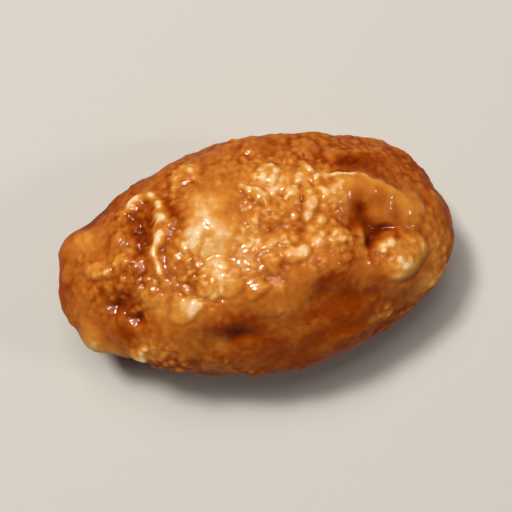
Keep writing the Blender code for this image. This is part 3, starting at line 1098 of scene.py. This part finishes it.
    def material(self) -> bpy.types.Material:
        """Builds the material, which reads the depth of the toffee, with its painted shading, from
        the mesh.

        Returns:
            The finished material.
        """
        material = bpy.data.materials.new("boiled_sugar_toffee")
        material.use_nodes = True
        tree = material.node_tree
        places = add_node(tree, "ShaderNodeTexCoord").outputs["Object"]
        depth, cover, bare = (
            add_node(tree, "ShaderNodeAttribute", {"attribute_name": name}).outputs["Fac"]
            for name in (DEPTH_AND_SHADING, COVER, BARE)
        )
        mottled = self.mottled(tree, places, depth, cover)
        colour = add_node(tree, "ShaderNodeValToRGB", links={"Fac": mottled})
        set_ramp(colour, self.colours())
        dullness = add_node(
            tree,
            "ShaderNodeMapRange",
            {"To Min": self.gloss_roughness, "To Max": self.bare_roughness},
            {"Value": bare},
        )
        turned_away = add_node(tree, "ShaderNodeLayerWeight", {"Blend": self.turn_blend})
        coat = add_node(
            tree,
            "ShaderNodeMapRange",
            {
                "From Min": self.coat_fade[0],
                "From Max": self.coat_fade[1],
                "To Min": self.coat_weight,
                "To Max": self.edge_coat_weight,
            },
            {"Value": turned_away.outputs["Facing"]},
        )
        glaze, sugar = self.relief(tree, places, cover, bare)
        set_shader(
            tree,
            {
                "IOR": self.toffee_ior,
                "Specular IOR Level": self.base_gloss,
                "Coat IOR": self.coat_ior,
                "Coat Roughness": self.coat_roughness,
                "Subsurface Weight": self.glow_weight,
                "Subsurface Radius": self.glow_by_colour,
                "Subsurface Scale": self.glow_depth,
            },
            {
                "Base Color": colour.outputs["Color"],
                "Roughness": dullness.outputs["Result"],
                "Normal": sugar,
                "Coat Weight": coat.outputs["Result"],
                "Coat Normal": glaze,
            },
        )
        return material


@dataclass(frozen=True)
class PaleBoard:
    """Matt white card, which gives an even pale ground and a little light from below."""

    white: str = "CCD0D4"
    roughness: float = 0.8
    tooth_size: float = 1.5 * MM  # coarser than real card's, which would be lost in a render
    tooth: float = 0.02 * MM

    def material(self) -> bpy.types.Material:
        """Builds the material, with the faint tooth of card.

        Returns:
            The finished material.
        """
        material = bpy.data.materials.new("matt_white_card")
        material.use_nodes = True
        tree = material.node_tree
        places = add_node(tree, "ShaderNodeTexCoord").outputs["Object"]
        tooth = add_node(
            tree, "ShaderNodeTexNoise", {"Scale": 1 / self.tooth_size}, {"Vector": places}
        )
        bump = add_node(
            tree, "ShaderNodeBump", {"Distance": self.tooth}, {"Height": tooth.outputs["Fac"]}
        )
        set_shader(
            tree,
            {"Base Color": linear_colour(self.white), "Roughness": self.roughness},
            {"Normal": bump.outputs["Normal"]},
        )
        return material


@dataclass(frozen=True)
class ToffeeAlmond:
    """The sweet: its mesh, and the depth of toffee, with painted shading, that its finish reads."""

    finish: BoiledSugarToffee
    low: Vector
    high: Vector
    cuts: int = 127
    middle_crowd: float = 0.82
    top_crowd: float = 0.16
    crust_rise: float = 0.5 * MM  # how far the crust stands out from its oval
    foot_cut: float = 0.3 * MM  # what the flat foot takes off below

    def size(self) -> np.ndarray:
        """The sweet's length, width and thickness, from the frame."""
        return np.array(self.high) - np.array(self.low)

    def crust(self) -> Crust:
        """The crust's relief on its oval, which is smaller than the sweet by the lumps' height."""
        length, width, thickness = self.size() - 2 * self.crust_rise
        return Crust(Oval(length, width, thickness + self.foot_cut))

    def rounded_cube(self) -> bpy.types.Mesh:
        """A cube with evenly cut faces, blown up to a unit sphere.

        Returns:
            The sphere's mesh, with its points a little closer together in the middle and on top.
        """
        shell = bmesh.new()
        bmesh.ops.create_cube(shell, size=2.0)
        bmesh.ops.subdivide_edges(shell, edges=shell.edges[:], cuts=self.cuts, use_grid_fill=True)
        for vertex in shell.verts:
            # Even angles between the cuts keep the faces nearly of one size
            vertex.co = [math.tan(value * math.pi / 4) for value in vertex.co]
            vertex.co.normalize()
            vertex.co.x *= self.middle_crowd
            vertex.co.z += self.top_crowd
            vertex.co.normalize()
        mesh = bpy.data.meshes.new(NODE + "_glazed")
        shell.to_mesh(mesh)
        shell.free()
        return mesh

    def fitted(self, points: np.ndarray) -> np.ndarray:
        """Scales the crust to the frame's box and flattens its foot.

        Args:
            points: The crust's points, one a row.

        Returns:
            The points in their final place.
        """
        lowest, highest = points.min(axis=0), points.max(axis=0)
        wanted = self.size() + [0, 0, self.foot_cut]
        sized = (points - (lowest + highest) / 2) * wanted / (highest - lowest)
        sized += (np.array(self.low) + np.array(self.high)) / 2 - [0, 0, self.foot_cut / 2]
        sized[:, 2] = np.maximum(sized[:, 2], self.low.z)
        return sized

    def build(self) -> bpy.types.Object:
        """Models the sweet, dresses it and places it.

        Returns:
            The finished piece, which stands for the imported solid.
        """
        mesh = self.rounded_cube()
        sphere = np.empty(len(mesh.vertices) * 3)
        mesh.vertices.foreach_get("co", sphere)
        crust, crumbs, beading = self.crust(), Crumbs(), Beads()
        base = crust.oval.points(sphere.reshape(-1, 3))
        cover = crumbs.cover(crust, base)
        beads, gaps = beading.along(crust, base)
        bare_crust = crust.height(base) + crumbs.height(base, cover) - beading.gap_depth * gaps
        near = Neighbours(mesh)
        glazed = Syrup().poured(base, bare_crust, near)
        points = self.fitted(base + crust.oval.normals(base) * glazed[:, None])
        mesh.vertices.foreach_set("co", points.ravel())
        depth, bareness = ToffeeDepthAndShading().over(crust, base, glazed, near, beads)
        self.dress(mesh, {DEPTH_AND_SHADING: depth, COVER: cover, BARE: bareness * cover})
        piece = bpy.data.objects.new(NODE + "_glazed", mesh)
        bpy.context.scene.collection.objects.link(piece)
        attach(piece, BODY)
        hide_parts(NODE)
        LOG.info("%s: %d faces", piece.name, len(mesh.polygons))
        return piece

    def dress(self, mesh: bpy.types.Mesh, layers: dict[str, np.ndarray]) -> None:
        """Gives the mesh its finish.

        Args:
            mesh: The sweet's mesh.
            layers: What the finish reads: one value for each point, by name.
        """
        for name, values in layers.items():
            layer = mesh.attributes.new(name, "FLOAT", "POINT")
            layer.data.foreach_set("value", values.astype(np.float32))
        mesh.shade_smooth()
        mesh.materials.append(self.finish.material())


@dataclass(frozen=True)
class Lamp:
    """A square light, placed from the sweet by the camera's directions, with its size in metres.

    It stands to the right and up by these shares of its way back towards the camera.
    """

    name: str
    right: float
    up: float
    distance: float
    size: float
    power: float


@dataclass(frozen=True)
class Studio:
    """A pale floor, soft light from the upper left and a camera that looks almost straight down."""

    floor_finish: PaleBoard
    centre: Vector
    azimuth_deg: float = -12.3
    elevation_deg: float = 80.0
    lens_mm: float = 100.0
    sensor_mm: float = 36.0
    frame_width: float = 37.0 * MM
    nearest_seen: float = 1.0 * MM
    floor_radius: float = 0.6
    floor_corners: int = 96
    lamps: tuple[Lamp, ...] = (
        Lamp("key", -0.14, 0.45, 0.4, 0.22, 0.745),  # soft shading from the upper left
        Lamp("glint", -0.36, 0.42, 0.4, 0.07, 1.06),  # small bright glints
        Lamp("fill", 1.2, 0.0, 0.5, 0.07, 0.34),  # opens the shade at the blunt end
    )
    light_colour: str = "FFF2E0"
    surround: str = "FFFFFF"
    surround_strength: float = 0.03

    def axes(self) -> tuple[Vector, Vector, Vector]:
        """The camera's own directions.

        Returns:
            Its right, up and backward directions, each a unit vector.
        """
        azimuth, elevation = math.radians(self.azimuth_deg), math.radians(self.elevation_deg)
        right = Vector((math.cos(azimuth), math.sin(azimuth), 0))
        flat_back = Vector((math.sin(azimuth), -math.cos(azimuth), 0))
        back = flat_back * math.cos(elevation) + Vector((0, 0, math.sin(elevation)))
        return right, back.cross(right), back

    def camera(self) -> bpy.types.Object:
        """Adds the camera, as far away as makes the frame's width at the sweet's centre right.

        Returns:
            The camera that the scene then uses.
        """
        lens = bpy.data.cameras.new("camera")
        lens.lens = self.lens_mm
        lens.sensor_width = self.sensor_mm
        lens.clip_start = self.nearest_seen
        camera = bpy.data.objects.new("camera", lens)
        bpy.context.scene.collection.objects.link(camera)
        right, up, back = self.axes()
        distance = self.frame_width * self.lens_mm / self.sensor_mm
        turn = Matrix((right, up, back)).transposed().to_4x4()
        camera.matrix_world = Matrix.Translation(self.centre + back * distance) @ turn
        bpy.context.scene.camera = camera
        return camera

    def light(self, lamp: Lamp) -> bpy.types.Object:
        """Adds one light, turned towards the sweet.

        Args:
            lamp: The light's place, size and power.

        Returns:
            The light's object.
        """
        right, up, back = self.axes()
        towards = right * lamp.right + up * lamp.up + back
        light = bpy.data.lights.new(lamp.name, "AREA")
        light.size = lamp.size
        light.energy = lamp.power
        light.color = linear_colour(self.light_colour)[:3]
        holder = bpy.data.objects.new(lamp.name, light)
        bpy.context.scene.collection.objects.link(holder)
        holder.location = self.centre + towards.normalized() * lamp.distance
        holder.rotation_euler = towards.to_track_quat("Z", "Y").to_euler()
        return holder

    def surroundings(self) -> None:
        """Adds the faint white light from all around."""
        world = bpy.data.worlds.new("white_surround")
        bpy.context.scene.world = world
        world.use_nodes = True
        background = world.node_tree.nodes["Background"]
        background.inputs["Color"].default_value = linear_colour(self.surround)
        background.inputs["Strength"].default_value = self.surround_strength

    def floor(self) -> bpy.types.Object:
        """Adds the round pale floor, level with the sweet's foot.

        Returns:
            The floor, which isn't part of the sweet.
        """
        shell = bmesh.new()
        bmesh.ops.create_circle(
            shell, cap_ends=True, radius=self.floor_radius, segments=self.floor_corners
        )
        mesh = bpy.data.meshes.new("floor")
        shell.to_mesh(mesh)
        shell.free()
        mesh.materials.append(self.floor_finish.material())
        floor = bpy.data.objects.new("floor", mesh)
        bpy.context.scene.collection.objects.link(floor)
        return floor

    def build(self) -> None:
        """Sets up the floor, the lights and the camera."""
        self.floor()
        for lamp in self.lamps:
            self.light(lamp)
        self.surroundings()
        self.camera()
        bpy.context.scene.view_settings.view_transform = "Standard"
        LOG.info("studio: floor, %d lights and camera", len(self.lamps))


def main() -> None:
    """Builds the sweet and the studio around it."""
    low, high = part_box(NODE)
    ToffeeAlmond(BoiledSugarToffee(), low, high).build()
    Studio(PaleBoard(), (low + high) / 2).build()
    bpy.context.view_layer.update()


if __name__ == "__main__":
    logging.basicConfig(level=logging.INFO)
    main()
